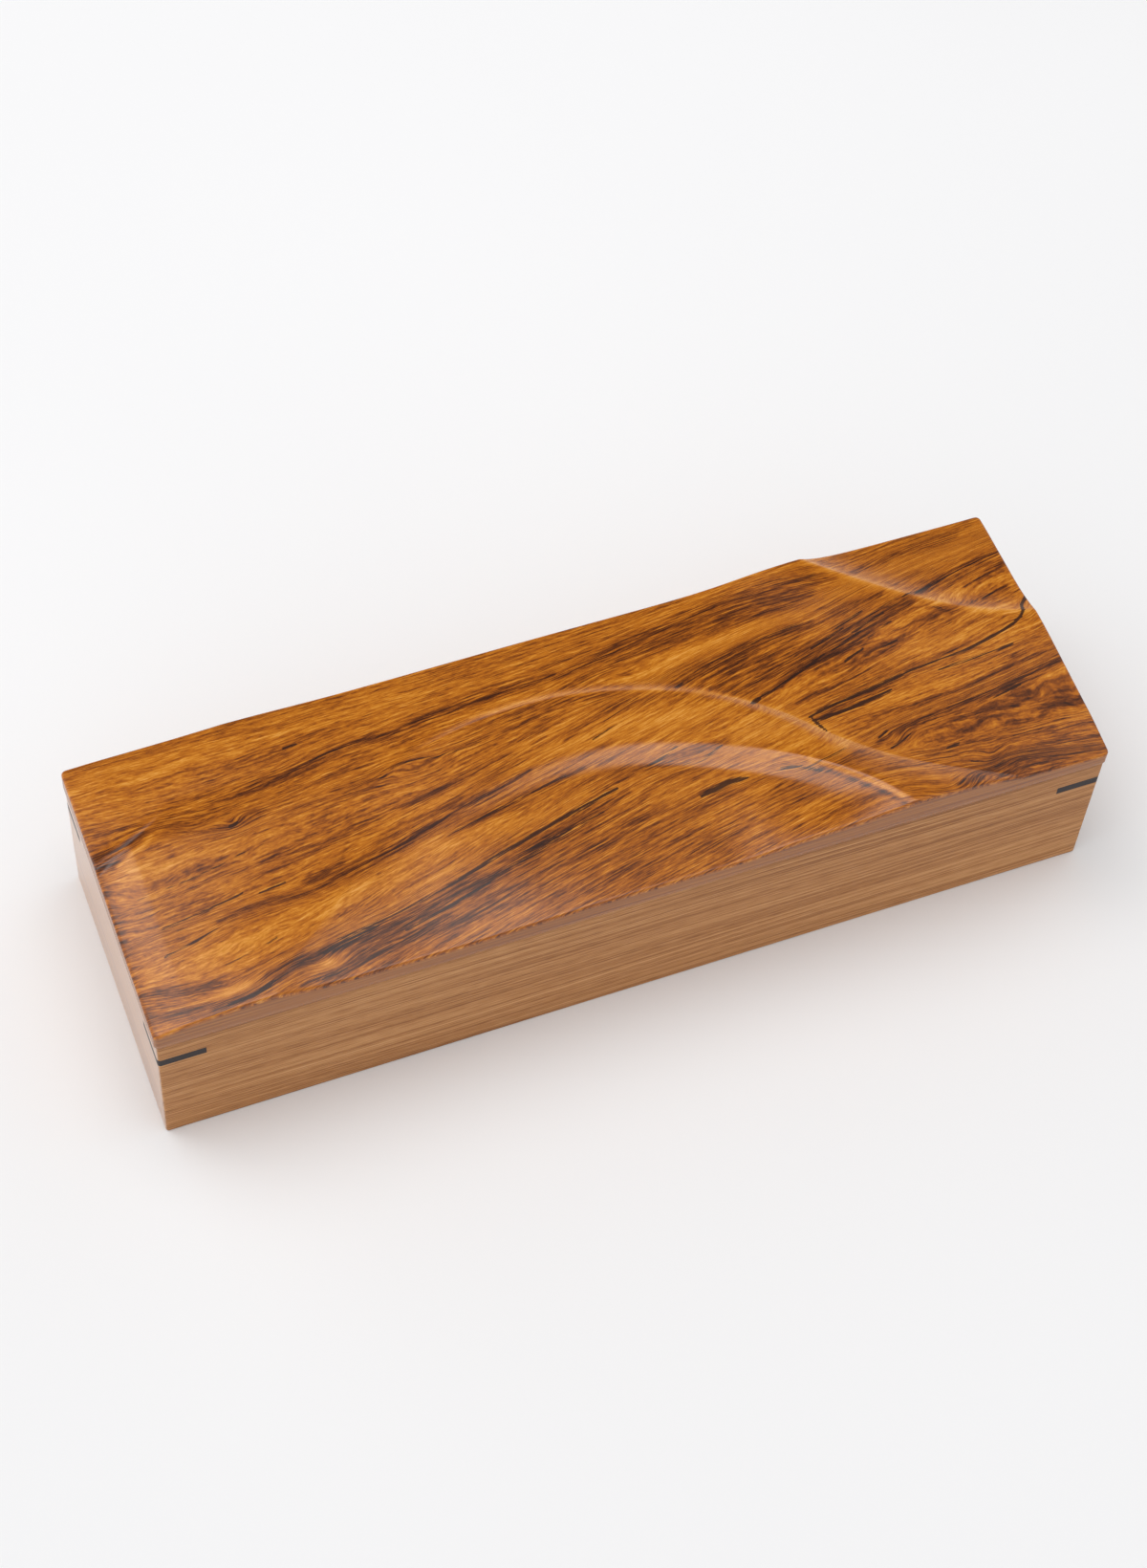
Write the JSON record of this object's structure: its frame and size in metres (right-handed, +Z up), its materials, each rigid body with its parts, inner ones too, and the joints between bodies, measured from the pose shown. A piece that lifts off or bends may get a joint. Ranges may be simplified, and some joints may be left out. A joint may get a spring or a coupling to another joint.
{
  "type": "ink stick and stone box",
  "caption": "Long wooden writing box with keyed mitred corners and a wave-carved lift-off lid, fitted inside for an inkstone and an ink stick.",
  "frame": {"origin": "middle of the box on the surface it stands on", "axes": "+X along the box to the right as seen from the front, +Y to the back, +Z up"},
  "size_m": [0.301, 0.0954, 0.0621],
  "materials": {
    "body_wood": "straight fine grain, hand-rubbed satin oil",
    "lid_wood": "figured golden-brown wood with dark streaks, satin oil",
    "ebony": "black hardwood, flush and satin",
    "inner_wood": "pale straight-grained wood, fine sanded",
    "slate": null,
    "ink": "pressed soot ink, dull black with a gilded border"
  },
  "bodies": {
    "box": {"front_wall": "body_wood", "back_wall": "body_wood", "left_end_wall": "body_wood", "right_end_wall": "body_wood", "bottom_panel": "body_wood", "divider": "body_wood", "stone_bed": "inner_wood", "stick_bed": "inner_wood", "corner_key_front_left": "ebony", "corner_key_front_right": "ebony", "corner_key_back_left": "ebony", "corner_key_back_right": "ebony"},
    "lid": {"lid": "lid_wood"},
    "inkstone": {"inkstone": "slate"},
    "ink_stick": {"ink_stick": "ink"}
  },
  "joints": [
    {"name": "lid_lift", "type": "slide", "parent": "box", "child": "lid", "axis": [0, 0, 1], "range_m": [0, 0.12]},
    {"name": "stone_lift", "type": "slide", "parent": "box", "child": "inkstone", "axis": [0, 0, 1], "range_m": [0, 0.048]},
    {"name": "stick_lift", "type": "slide", "parent": "box", "child": "ink_stick", "axis": [0, 0, 1], "range_m": [0, 0.042]}
  ],
  "couplings": [
    {"joint": "stone_lift", "follows": "lid_lift", "ratio": 0.4},
    {"joint": "stick_lift", "follows": "lid_lift", "ratio": 0.35}
  ]
}
